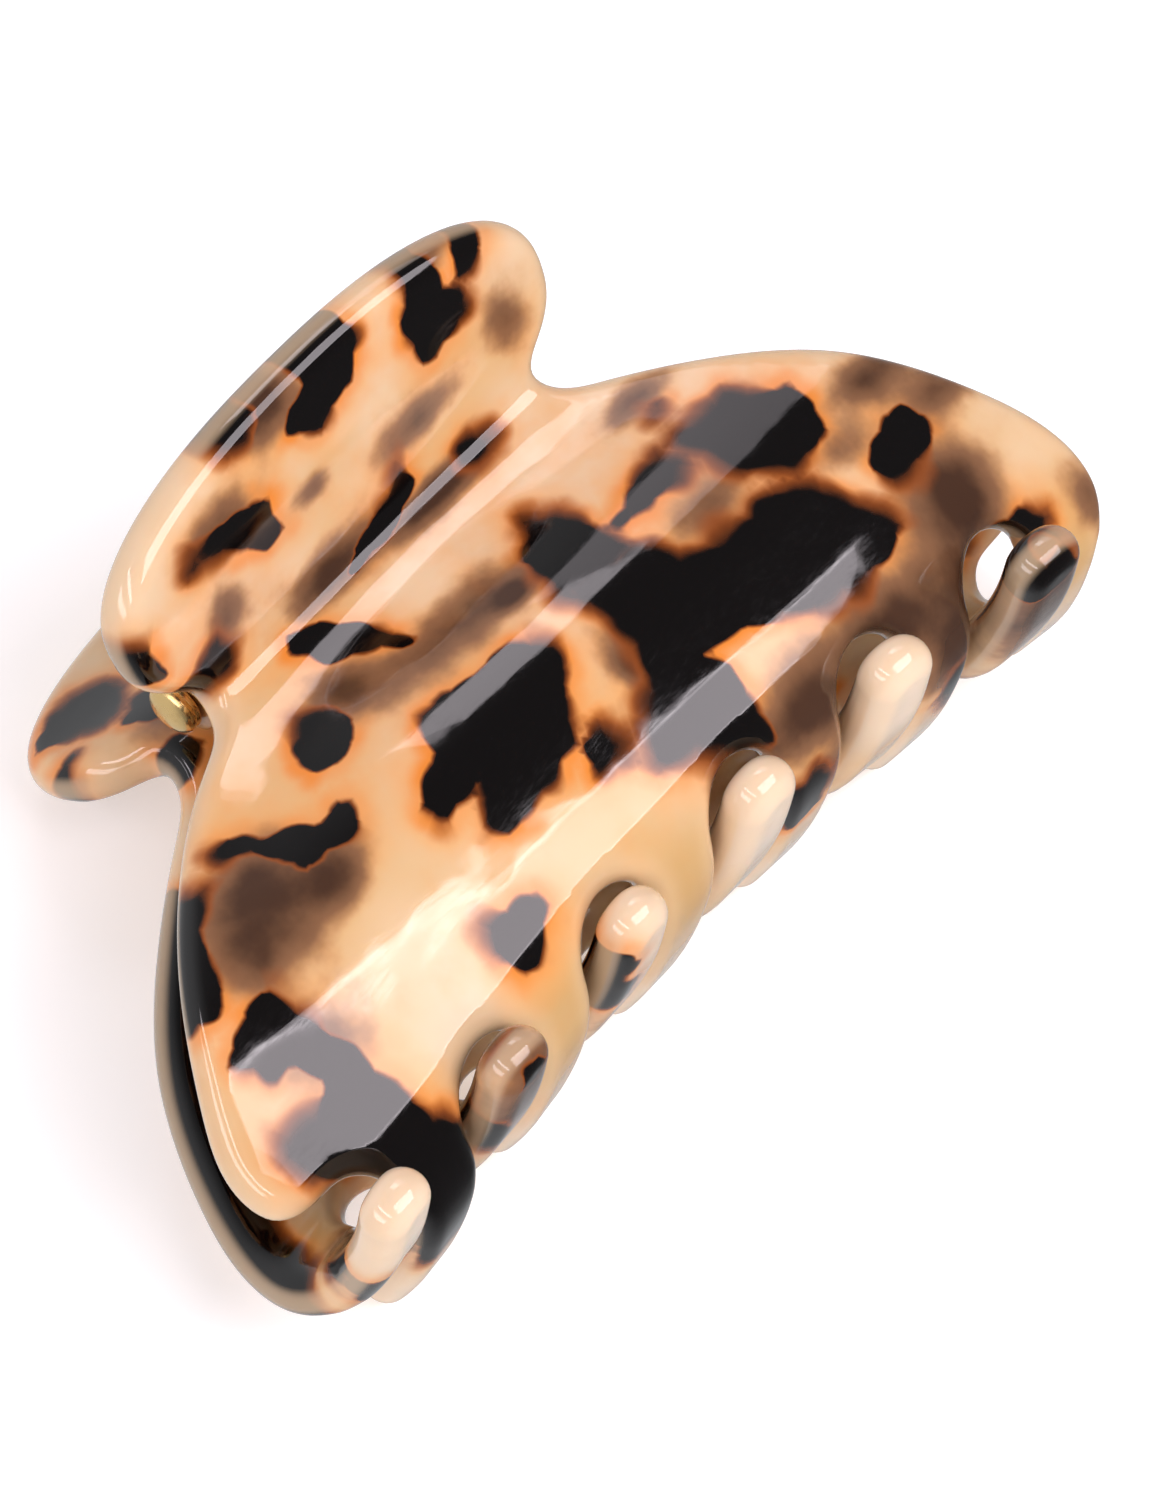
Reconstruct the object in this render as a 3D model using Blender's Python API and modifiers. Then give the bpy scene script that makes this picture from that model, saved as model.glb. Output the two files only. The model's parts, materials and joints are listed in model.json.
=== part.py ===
"""Claw clip for hair: two identical jaws of bent cellulose acetate sheet, hinged on a pin
between their necks and held closed by a torsion spring.

The clip lies closed on a table: +X runs along the hinge, +Y towards the handles and +Z up,
with the origin on the table below the middle of the object. The front jaw is on top. The
back jaw is the same piece turned half round about the line that runs from teeth to handles,
so each jaw's six fingers pass through the notches between the other's.

Every piece is modelled about the pin: x along the hinge, y towards the handles and z
outwards from the middle plane of the clip.
"""

import math

import bmesh
import bpy
import numpy as np
from mathutils import Matrix, Vector

MM = 0.001

# The sheet that both jaws are cut from
SHEET = 4.0 * MM
EDGE_ROUND = 1.3 * MM

# Middle line of a jaw's sheet at x = 0, from the handle's tip round to a finger's tip, as
# (towards the handles from the neck, outwards) in millimetres; the neck is the third point
SECTION = [
    (12.9, 20.9), (5.8, 12.8), (0.0, 7.2), (-8.0, 9.4), (-16.0, 13.5), (-24.0, 13.9),
    (-29.8, 12.8), (-33.2, 8.4), (-34.6, 1.0), (-34.7, -7.5), (-33.8, -15.8),
]
NECK_POINT = 2
PIN_ABOVE_NECK = 2.5

# How far a jaw is drawn in at its ends, at stations along the sheet from the neck (mm)
DRAW_IN_STATIONS = [20.0, 8.0, 0.0, -8.5, -16.5, -24.0, -31.0, -44.0, -62.0]
DRAW_IN_DEPTHS = [0.0, 0.0, 0.0, 3.3, 6.5, 7.6, 7.9, 5.0, 0.0]
DRAW_IN_POWER = 1.9

# How much further from the hinge the fingers lie towards the jaw's ends (mm)
ARCH_X = [-45.0, -32.5, -18.1, -3.6, 10.8, 25.3, 39.8, 45.0]
ARCH_DEPTHS = [3.6, 3.0, 0.9, 0.1, 0.2, 1.1, 2.3, 3.0]
ARCH_FULL_STATION = 38.0

# Flat outline of the sheet, as (x, station) in millimetres
HALF_LENGTH = 45.0 * MM
HANDLE_HALF_WIDTH = 23.6
HANDLE_SHOULDER = 9.0
HANDLE_SQUARENESS = 0.86
NECK_SIDE = [(23.3, 6.5), (21.0, 3.2), (18.8, 0.9), (19.2, -1.1)]
CLOSED_SIDE = [(22.3, -3.9), (28.8, -8.8), (36.0, -15.9), (41.8, -23.8), (44.8, -30.5),
               (45.1, -35.0), (44.0, -39.0)]
OPEN_SIDE = [(22.6, -3.4), (29.8, -7.6), (37.0, -14.2), (42.9, -21.6), (45.3, -27.2),
             (44.7, -29.6), (42.4, -30.8), (39.0, -31.2), (37.2, -32.8)]
TOOTH_PITCH = 14.7
FINGER_HALF_WIDTH = 3.1
FINGER_COUNT = 6
FIRST_FINGER = -2.25
NOTCH_END = -32.3
NOTCH_HALF_WIDTH = 3.7
FIRST_FINGER_START = -38.0
LAST_FINGER_START = -43.0

# Hinge
PIN_RADIUS = 1.2 * MM
PIN_HALF_LENGTH = 17.6 * MM
PIN_CLEARANCE = 0.05 * MM
KNUCKLE_RADIUS = 3.2 * MM
KNUCKLE_WIDTH = 3.0 * MM
KNUCKLE_FOOT = 3.6 * MM
OUTER_KNUCKLE_X = 15.0 * MM
INNER_KNUCKLE_X = 11.6 * MM
TOUCH_GAP = 0.3 * MM
CAP_RADIUS = 2.2 * MM
CAP_LENGTH = 1.9 * MM
CAP_WALL = 0.5 * MM

# Spring
WIRE_RADIUS = 0.5 * MM
COIL_RADIUS = 2.7 * MM
COIL_HALF_LENGTH = 8.8 * MM
COIL_TURNS = 8
LEG_ELBOW_STATION = 6.5
LEG_END_STATION = 14.5
LEG_CLEARANCE = 0.4 * MM

# Where the back handle rests on the table, as a part of the sheet's half thickness
SOLE_HEIGHT = 0.8

# Mesh density
LINE_SAMPLES = 1500
PROBE = 0.2
WELD = 0.01 * MM
SCORE_SNAP = 0.05 * MM
SCORE_WELD = 0.08 * MM
SHARP_ANGLE = math.radians(40)
STATION_STEP = 4.0
SIDE_STEP = 9.0
ARC_POINTS = 5
SIDE_POINTS = 24
EYE_POINTS = 20


def remove_everything():
    for obj in list(bpy.data.objects):
        bpy.data.objects.remove(obj, do_unlink=True)


def natural_spline(knots, values, at):
    """Cubic spline through the values with no bending at its ends."""
    knots = np.asarray(knots, float)
    values = np.asarray(values, float)
    step = np.diff(knots)
    slope = np.diff(values) / step
    count = len(knots)
    matrix = np.eye(count)
    right = np.zeros(count)
    for i in range(1, count - 1):
        matrix[i, i - 1:i + 2] = step[i - 1], 2 * (step[i - 1] + step[i]), step[i]
        right[i] = 6 * (slope[i] - slope[i - 1])
    bend = np.linalg.solve(matrix, right)
    at = np.asarray(at, float)
    i = np.clip(np.searchsorted(knots, at) - 1, 0, count - 2)
    low = at - knots[i]
    high = knots[i + 1] - at
    curved = (bend[i] * high ** 3 + bend[i + 1] * low ** 3) / (6 * step[i])
    from_left = (values[i] / step[i] - bend[i] * step[i] / 6) * high
    from_right = (values[i + 1] / step[i] - bend[i + 1] * step[i] / 6) * low
    return curved + from_left + from_right


def chord_lengths(points):
    steps = np.hypot(*np.diff(np.asarray(points, float), axis=0).T)
    return np.concatenate([[0.0], np.cumsum(steps)])


def through(points, samples):
    """A smooth curve through 2D points, as that many samples."""
    points = np.asarray(points, float)
    along = chord_lengths(points)
    at = np.linspace(0.0, along[-1], samples)
    return np.stack([natural_spline(along, points[:, k], at) for k in (0, 1)], axis=1)


class Section:
    """The middle line of a jaw at x = 0, measured in stations: millimetres along the sheet
    from the neck, positive towards the handle."""

    def __init__(self):
        line = through(SECTION, LINE_SAMPLES)
        along = chord_lengths(line)
        neck = chord_lengths(SECTION)[NECK_POINT] / chord_lengths(SECTION)[-1]
        neck_along = np.interp(neck, np.linspace(0, 1, len(line)), along)
        self.stations = (neck_along - along)[::-1]
        self.y = (line[::-1, 0] - PIN_ABOVE_NECK) * MM
        self.z = line[::-1, 1] * MM
        self.handle_tip = self.stations[-1]
        self.finger_tip = self.stations[0]

    def at(self, station):
        return np.interp(station, self.stations, self.y), np.interp(station, self.stations, self.z)


SHEET_LINE = Section()


def middle_surface(x, station):
    """A point of the bent sheet's middle surface, for a place in the flat sheet."""
    y, z = SHEET_LINE.at(station)
    across = abs(x) / HALF_LENGTH
    order = DRAW_IN_STATIONS[::-1]
    depth = natural_spline(order, DRAW_IN_DEPTHS[::-1], np.clip(station, order[0], order[-1]))
    arch = natural_spline(ARCH_X, ARCH_DEPTHS, np.clip(x / MM, ARCH_X[0], ARCH_X[-1])) * MM
    arch *= np.clip(-station / ARCH_FULL_STATION, 0.0, 1.0) ** 2
    return Vector((x, y - arch, z - depth * MM * across ** DRAW_IN_POWER))


def bent(x, station, height):
    """Where a point of the flat sheet goes when the sheet is bent to the jaw's shape."""
    step = PROBE * MM
    along_x = middle_surface(x + step, station) - middle_surface(x - step, station)
    along_s = middle_surface(x, station + PROBE) - middle_surface(x, station - PROBE)
    normal = along_x.cross(along_s).normalized()
    return middle_surface(x, station) + normal * height


def handle_top():
    """The handle's rounded upper edge, from its right shoulder to its left one."""
    angles = np.linspace(0.0, math.pi, 21)
    rise = SHEET_LINE.handle_tip - HANDLE_SHOULDER
    x = HANDLE_HALF_WIDTH * np.sign(np.cos(angles)) * abs(np.cos(angles)) ** HANDLE_SQUARENESS
    station = HANDLE_SHOULDER + rise * np.sin(angles) ** HANDLE_SQUARENESS
    return [tuple(point) for point in np.stack([x, station], axis=1)]


def arc(centre_x, centre_y, radius, start, end):
    angles = np.radians(np.linspace(start, end, ARC_POINTS))
    return [(centre_x + radius * math.cos(a), centre_y + radius * math.sin(a)) for a in angles]


def fingers_outline():
    """The comb of fingers, from the left finger's outer side to the right finger's."""
    tip_y = SHEET_LINE.finger_tip + FINGER_HALF_WIDTH
    points = []
    for i in range(FINGER_COUNT):
        x = (FIRST_FINGER + i) * TOOTH_PITCH
        points += arc(x, tip_y, FINGER_HALF_WIDTH, 180, 360)
        if i < FINGER_COUNT - 1:
            notch_y = NOTCH_END - NOTCH_HALF_WIDTH
            points += arc(x + TOOTH_PITCH / 2, notch_y, NOTCH_HALF_WIDTH, 180, 0)
    return points


def flat_outline():
    """Closed outline of the flat sheet, counter-clockwise, in millimetres."""
    top = handle_top()
    first_x = FIRST_FINGER * TOOTH_PITCH - FINGER_HALF_WIDTH
    last_x = (FIRST_FINGER + FINGER_COUNT - 1) * TOOTH_PITCH + FINGER_HALF_WIDTH
    left = [top[-1]] + [(-x, s) for x, s in NECK_SIDE + OPEN_SIDE]
    left.append((first_x, FIRST_FINGER_START))
    right = [top[0]] + NECK_SIDE + CLOSED_SIDE + [(last_x, LAST_FINGER_START)]
    left = [tuple(point) for point in through(left, SIDE_POINTS)]
    right = [tuple(point) for point in through(right, SIDE_POINTS)]
    return top + left[1:] + fingers_outline() + right[:0:-1]


def plate_mesh(name, outlines, thickness, rounding):
    """A flat plate with rounded edges, lying in the XY plane."""
    curve = bpy.data.curves.new(name + "_outline", "CURVE")
    curve.dimensions = "2D"
    curve.fill_mode = "BOTH"
    curve.extrude = thickness / 2 - rounding
    curve.bevel_depth = rounding
    curve.bevel_resolution = 1
    curve.offset = -rounding
    for outline in outlines:
        spline = curve.splines.new("POLY")
        spline.points.add(len(outline) - 1)
        for point, (x, y) in zip(spline.points, outline):
            point.co = (x, y, 0, 1)
        spline.use_cyclic_u = True
    guide = bpy.data.objects.new(name + "_outline", curve)
    bpy.context.scene.collection.objects.link(guide)
    graph = bpy.context.evaluated_depsgraph_get()
    mesh = bpy.data.meshes.new_from_object(guide.evaluated_get(graph))
    mesh.name = name
    bpy.data.objects.remove(guide)
    bm = bmesh.new()
    bm.from_mesh(mesh)
    bmesh.ops.remove_doubles(bm, verts=bm.verts, dist=WELD)
    bmesh.ops.recalc_face_normals(bm, faces=bm.faces)
    return mesh, bm


def score(bm, axis, places):
    """Adds a line of edges across the plate at each place, so that it can bend there."""
    normal = Vector((0, 0, 0))
    normal[axis] = 1
    for place in places:
        everything = list(bm.verts) + list(bm.edges) + list(bm.faces)
        bmesh.ops.bisect_plane(bm, geom=everything, plane_co=normal * place, plane_no=normal,
                               dist=SCORE_SNAP)


def jaw_mesh():
    """One jaw: the outline cut from flat sheet, then bent to shape."""
    outline = [(x * MM, s * MM) for x, s in flat_outline()]
    mesh, bm = plate_mesh("jaw", [outline], SHEET, EDGE_ROUND)
    lines = np.arange(SHEET_LINE.finger_tip + 2, SHEET_LINE.handle_tip - 2, STATION_STEP)
    score(bm, 1, [s * MM for s in lines])
    score(bm, 0, [i * SIDE_STEP * MM for i in range(-4, 5)])
    bmesh.ops.remove_doubles(bm, verts=bm.verts, dist=SCORE_WELD)
    bmesh.ops.triangulate(bm, faces=bm.faces)
    for vert in bm.verts:
        x, station, height = vert.co
        vert.co = bent(x, station / MM, height)
    finish_mesh(mesh, bm)
    return mesh


def finish_mesh(mesh, bm):
    bmesh.ops.recalc_face_normals(bm, faces=bm.faces)
    bm.to_mesh(mesh)
    bm.free()
    mesh.shade_smooth()
    mesh.set_sharp_from_angle(angle=SHARP_ANGLE)


def knuckle_mesh(name):
    """A lug that is glued inside a jaw's neck and carries the pin in its eye."""
    reach = KNUCKLE_FOOT / MM
    foot_stations = PIN_ABOVE_NECK + np.linspace(-reach, reach, 7)
    foot = [bent(0.0, s, -SHEET / 2 - TOUCH_GAP) for s in foot_stations]
    outline = [(point.y, point.z) for point in foot]
    around = np.radians(np.linspace(20, -200, 13))
    outline += [(KNUCKLE_RADIUS * math.cos(a), KNUCKLE_RADIUS * math.sin(a)) for a in around]
    eye_radius = (PIN_RADIUS + PIN_CLEARANCE) / math.cos(math.pi / EYE_POINTS)
    around = [2 * math.pi * i / EYE_POINTS for i in range(EYE_POINTS)]
    eye = [(eye_radius * math.cos(a), eye_radius * math.sin(a)) for a in around]
    mesh, bm = plate_mesh(name, [outline, eye], KNUCKLE_WIDTH, 0.0)
    stand_up = Matrix(((0, 0, 1, 0), (1, 0, 0, 0), (0, 1, 0, 0), (0, 0, 0, 1)))
    bmesh.ops.transform(bm, matrix=stand_up, verts=bm.verts)
    finish_mesh(mesh, bm)
    return mesh


def pin_mesh():
    mesh = bpy.data.meshes.new("hinge_pin")
    bm = bmesh.new()
    along_x = Matrix.Rotation(math.pi / 2, 4, "Y")
    bmesh.ops.create_cone(bm, cap_ends=True, segments=EYE_POINTS, radius1=PIN_RADIUS,
                          radius2=PIN_RADIUS, depth=2 * PIN_HALF_LENGTH, matrix=along_x)
    finish_mesh(mesh, bm)
    return mesh


def cap_object(name):
    """A domed cap pressed over the pin's end, turned about its own Z axis."""
    bore = PIN_RADIUS + PIN_CLEARANCE
    floor = CAP_LENGTH - CAP_WALL - TOUCH_GAP
    dome = [(CAP_RADIUS * math.cos(a), CAP_LENGTH / 2 + CAP_LENGTH / 2 * math.sin(a))
            for a in np.radians(np.linspace(90, 0, 6))]
    profile = dome + [(CAP_RADIUS, 0.0), (bore, 0.0), (bore, floor), (0.0, floor)]
    mesh = bpy.data.meshes.new(name)
    points = [(max(r, 0.0), 0.0, z) for r, z in profile]
    mesh.from_pydata(points, [(i, i + 1) for i in range(len(points) - 1)], [])
    obj = bpy.data.objects.new(name, mesh)
    turn = obj.modifiers.new("turn", "SCREW")
    turn.steps = EYE_POINTS
    turn.render_steps = EYE_POINTS
    turn.use_merge_vertices = True
    turn.merge_threshold = WELD
    return obj


def spring_path():
    """Wire of the torsion spring: back leg, coil round the pin, front leg. Each leg bends at
    an elbow to lie along the inside of its handle."""
    lift = -SHEET / 2 - WIRE_RADIUS - LEG_CLEARANCE
    elbow, end = (bent(0.0, s, lift) for s in (LEG_ELBOW_STATION, LEG_END_STATION))
    reach = math.hypot(elbow.y, elbow.z)
    leave = math.atan2(elbow.z, elbow.y) + math.acos(COIL_RADIUS / reach)
    turn = 2 * math.pi * COIL_TURNS + 2 * (math.pi - leave)
    count = 12 * COIL_TURNS + 6
    back_leg = [(-COIL_HALF_LENGTH, place.y, -place.z) for place in (end, elbow)]
    front_leg = [(COIL_HALF_LENGTH, place.y, place.z) for place in (elbow, end)]
    coil = []
    for i in range(count + 1):
        part = i / count
        angle = -leave - turn * part
        x = COIL_HALF_LENGTH * (2 * part - 1)
        coil.append((x, COIL_RADIUS * math.cos(angle), COIL_RADIUS * math.sin(angle)))
    return back_leg + coil + front_leg


def spring_object(name):
    curve = bpy.data.curves.new(name, "CURVE")
    curve.dimensions = "3D"
    curve.bevel_depth = WIRE_RADIUS
    curve.bevel_resolution = 1
    curve.use_fill_caps = True
    points = spring_path()
    spline = curve.splines.new("POLY")
    spline.points.add(len(points) - 1)
    for point, place in zip(spline.points, points):
        point.co = (*place, 1)
    return bpy.data.objects.new(name, curve)


def rest_tilt():
    """Angle that brings the back handle's tip level with the front fingers' tips."""
    tip = SHEET_LINE.handle_tip
    sole = [bent(0.0, s, SHEET / 2 * SOLE_HEIGHT) for s in (tip, tip - 1)]
    handle = max(sole, key=lambda p: p.z)
    finger = middle_surface(0.0, SHEET_LINE.finger_tip)
    return math.atan2(handle.z + finger.z, handle.y - finger.y)


def material(name, color, roughness, metallic=0.0):
    made = bpy.data.materials.new(name)
    made.use_nodes = True
    shader = made.node_tree.nodes["Principled BSDF"]
    shader.inputs["Base Color"].default_value = (*color, 1.0)
    shader.inputs["Roughness"].default_value = roughness
    shader.inputs["Metallic"].default_value = metallic
    made.diffuse_color = (*color, 1.0)
    return made


def place(obj, collection, parent, looks, location=(0, 0, 0), rotation=(0, 0, 0)):
    collection.objects.link(obj)
    obj.parent = parent
    obj.location = location
    obj.rotation_euler = rotation
    if not obj.data.materials:
        obj.data.materials.append(looks)
    return obj


def lowest_point(objects):
    bpy.context.view_layer.update()
    corners = []
    for obj in objects:
        corners += [(obj.matrix_world @ vert.co) for vert in obj.data.vertices]
    return min(corner.z for corner in corners), corners


def build():
    remove_everything()
    collection = bpy.data.collections.new("claw_clip")
    bpy.context.scene.collection.children.link(collection)
    hinge = bpy.data.objects.new("hinge_axis", None)
    collection.objects.link(hinge)
    hinge.rotation_euler = (rest_tilt(), 0, 0)
    front_side = bpy.data.objects.new("front_side", None)
    back_side = bpy.data.objects.new("back_side", None)
    for side in (front_side, back_side):
        collection.objects.link(side)
        side.parent = hinge
    back_side.rotation_euler = (0, math.pi, 0)

    acetate = material("tortoiseshell_acetate", (0.62, 0.36, 0.17), 0.12)
    lug_acetate = material("amber_acetate", (0.66, 0.42, 0.2), 0.15)
    gold = material("gilt_steel", (0.83, 0.62, 0.3), 0.25, 1.0)
    steel = material("spring_steel", (0.72, 0.6, 0.38), 0.3, 1.0)

    jaw = jaw_mesh()
    jaws = [place(bpy.data.objects.new("front_jaw", jaw), collection, front_side, acetate),
            place(bpy.data.objects.new("back_jaw", jaw), collection, back_side, acetate)]
    lug = knuckle_mesh("knuckle")
    for name, side in (("front", front_side), ("back", back_side)):
        for where, x in (("outer", -OUTER_KNUCKLE_X), ("inner", INNER_KNUCKLE_X)):
            obj = bpy.data.objects.new(f"{name}_knuckle_{where}", lug)
            place(obj, collection, side, lug_acetate, location=(x, 0, 0))

    place(bpy.data.objects.new("hinge_pin", pin_mesh()), collection, back_side, gold)
    cap_x = PIN_HALF_LENGTH - (CAP_LENGTH - CAP_WALL - TOUCH_GAP) + TOUCH_GAP
    for name, sign in (("left", -1), ("right", 1)):
        obj = cap_object(f"pin_cap_{name}")
        place(obj, collection, hinge, gold, location=(sign * cap_x, 0, 0),
              rotation=(0, sign * math.pi / 2, 0))
    place(spring_object("torsion_spring"), collection, hinge, steel)

    floor, corners = lowest_point(jaws)
    middle_x = (min(c.x for c in corners) + max(c.x for c in corners)) / 2
    middle_y = (min(c.y for c in corners) + max(c.y for c in corners)) / 2
    hinge.location = (-middle_x, -middle_y, -floor)


build()
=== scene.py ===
"""Looks of the claw clip: two jaws of blonde tortoiseshell acetate on a gilt pin and spring.

The jaws are remade with a finer mesh on the CAD's own surface. Each vertex keeps its place in
the flat sheet, in millimetres, because the pattern runs through the sheet's thickness.
"""

import json
import math

import bmesh
import bpy
import numpy as np
from mathutils import Matrix, Vector
from mathutils.geometry import delaunay_2d_cdt

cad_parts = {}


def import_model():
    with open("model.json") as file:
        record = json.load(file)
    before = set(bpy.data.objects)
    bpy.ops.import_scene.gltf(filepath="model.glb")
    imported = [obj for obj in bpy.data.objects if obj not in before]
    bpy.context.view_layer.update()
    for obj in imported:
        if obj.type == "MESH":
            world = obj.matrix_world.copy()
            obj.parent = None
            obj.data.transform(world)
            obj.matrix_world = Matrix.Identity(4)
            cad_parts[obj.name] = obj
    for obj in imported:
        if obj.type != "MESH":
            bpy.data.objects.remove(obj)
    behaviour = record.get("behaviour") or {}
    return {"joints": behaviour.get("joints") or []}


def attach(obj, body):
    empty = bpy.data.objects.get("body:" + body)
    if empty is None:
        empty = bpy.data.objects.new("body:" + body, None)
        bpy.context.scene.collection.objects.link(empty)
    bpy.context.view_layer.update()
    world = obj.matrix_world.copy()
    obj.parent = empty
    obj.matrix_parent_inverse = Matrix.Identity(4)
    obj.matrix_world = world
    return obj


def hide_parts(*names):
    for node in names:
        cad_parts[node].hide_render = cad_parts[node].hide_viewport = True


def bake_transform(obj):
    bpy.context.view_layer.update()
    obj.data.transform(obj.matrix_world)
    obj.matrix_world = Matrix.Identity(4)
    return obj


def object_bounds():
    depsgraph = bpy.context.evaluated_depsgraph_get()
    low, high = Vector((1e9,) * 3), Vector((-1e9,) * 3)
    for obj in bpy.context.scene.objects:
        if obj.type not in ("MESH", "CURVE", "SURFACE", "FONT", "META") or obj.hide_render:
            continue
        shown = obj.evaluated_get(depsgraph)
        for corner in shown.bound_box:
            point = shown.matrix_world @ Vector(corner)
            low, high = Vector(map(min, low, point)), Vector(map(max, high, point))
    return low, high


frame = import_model()
cad_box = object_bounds()

MM = 0.001

# The sheet, as in the CAD: its middle line as (towards the handles, outwards) in millimetres
SHEET = 4.0
SECTION = [
    (12.9, 20.9), (5.8, 12.8), (0.0, 7.2), (-8.0, 9.4), (-16.0, 13.5), (-24.0, 13.9),
    (-29.8, 12.8), (-33.2, 8.4), (-34.6, 1.0), (-34.7, -7.5), (-33.8, -15.8),
]
NECK_POINT = 2
PIN_ABOVE_NECK = 2.5
DRAW_IN_STATIONS = [-62.0, -44.0, -31.0, -24.0, -16.5, -8.5, 0.0, 8.0, 20.0]
DRAW_IN_DEPTHS = [0.0, 5.0, 7.9, 7.6, 6.5, 3.3, 0.0, 0.0, 0.0]
DRAW_IN_POWER = 1.9
ARCH_X = [-45.0, -32.5, -18.1, -3.6, 10.8, 25.3, 39.8, 45.0]
ARCH_DEPTHS = [3.6, 3.0, 0.9, 0.1, 0.2, 1.1, 2.3, 3.0]
ARCH_FULL_STATION = -38.0

# Flat outline of a jaw, as in the CAD
HALF_LENGTH = 45.0
HANDLE_HALF_WIDTH = 23.6
HANDLE_SHOULDER = 9.0
HANDLE_SQUARENESS = 0.86
NECK_SIDE = [(23.3, 6.5), (21.0, 3.2), (18.8, 0.9), (19.2, -1.1)]
CLOSED_SIDE = [(22.3, -3.9), (28.8, -8.8), (36.0, -15.9), (41.8, -23.8), (44.8, -30.5),
               (45.1, -35.0), (44.0, -39.0)]
OPEN_SIDE = [(22.6, -3.4), (29.8, -7.6), (37.0, -14.2), (42.9, -21.6), (45.3, -27.2),
             (44.7, -29.6), (42.4, -30.8), (39.0, -31.2), (37.2, -32.8)]
TOOTH_PITCH = 14.7
FINGER_HALF_WIDTH = 3.1
FINGER_COUNT = 6
FIRST_FINGER = -2.25
NOTCH_END = -32.3
NOTCH_HALF_WIDTH = 3.7
FIRST_FINGER_START = -38.0
LAST_FINGER_START = -43.0

# Hinge and spring, as in the CAD (mm)
PIN_RADIUS = 1.2
PIN_CLEARANCE = 0.05
PIN_HALF_LENGTH = 17.6
KNUCKLE_RADIUS = 3.2
KNUCKLE_WIDTH = 3.0
KNUCKLE_FOOT = 3.6
OUTER_KNUCKLE_X = 15.0
INNER_KNUCKLE_X = 11.6
TOUCH_GAP = 0.3
CAP_RADIUS = 2.2
CAP_LENGTH = 1.9
CAP_WALL = 0.5
WIRE_RADIUS = 0.5
COIL_RADIUS = 2.7
COIL_HALF_LENGTH = 8.8
COIL_TURNS = 8
LEG_ELBOW_STATION = 6.5
LEG_END_STATION = 14.5
LEG_CLEARANCE = 0.4
SOLE_HEIGHT = 0.8

# Finer shapes than the CAD's, in millimetres and degrees. Each ring that closes the wire's end
# is given as its distance past the end and its radius
KNUCKLE_EDGE = 0.35
PIN_RIM = 0.4
CAP_RIM = 0.22
CAP_WAIST = 0.1
CAP_WAIST_AT = 2.4 * CAP_RIM
CAP_DOME_START = 0.42 * CAP_LENGTH
CAP_DOME_END = 84
CAP_CENTRE = 0.02
LUG_ROUND = (20, -200)
ELBOW_SHARE = 0.25
WIRE_END = [(0.25, 0.4), (0.42, 0.2)]
WIRE_FIRST_ACROSS = [0.3, 0.2, 0.93]

# Mesh density: lengths in millimetres, angles in degrees, and numbers of points
PROBE = 0.2
LINE_SAMPLES = 1500
SIDE_SAMPLES = 160
HANDLE_SAMPLES = 81
ARC_SAMPLES = 25
OUTLINE_STEP = 0.5
GRID_STEP = 0.65
GRID_ROW_STEP = 0.87 * GRID_STEP
GRID_GAP = 0.45 * GRID_STEP
EDGE_RADIUS = 1.9
EDGE_LOOPS = 7
LOOP_SLACK = 0.02
ON_OUTLINE = 0.01
FOOT_SAMPLES = 13
LUG_SAMPLES = 49
LUG_EDGE_SAMPLES = 3
EYE_STEP = 7.5
LATHE_STEPS = 64
RIM_SAMPLES = 6
DOME_SAMPLES = 13
ELBOW_SAMPLES = 9
COIL_SAMPLES = 28
WIRE_SIDES = 14
WELD = 0.01
SAME_POINT = 0.0001
TINY = 1e-12
SHARP_ANGLE = 35

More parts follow.
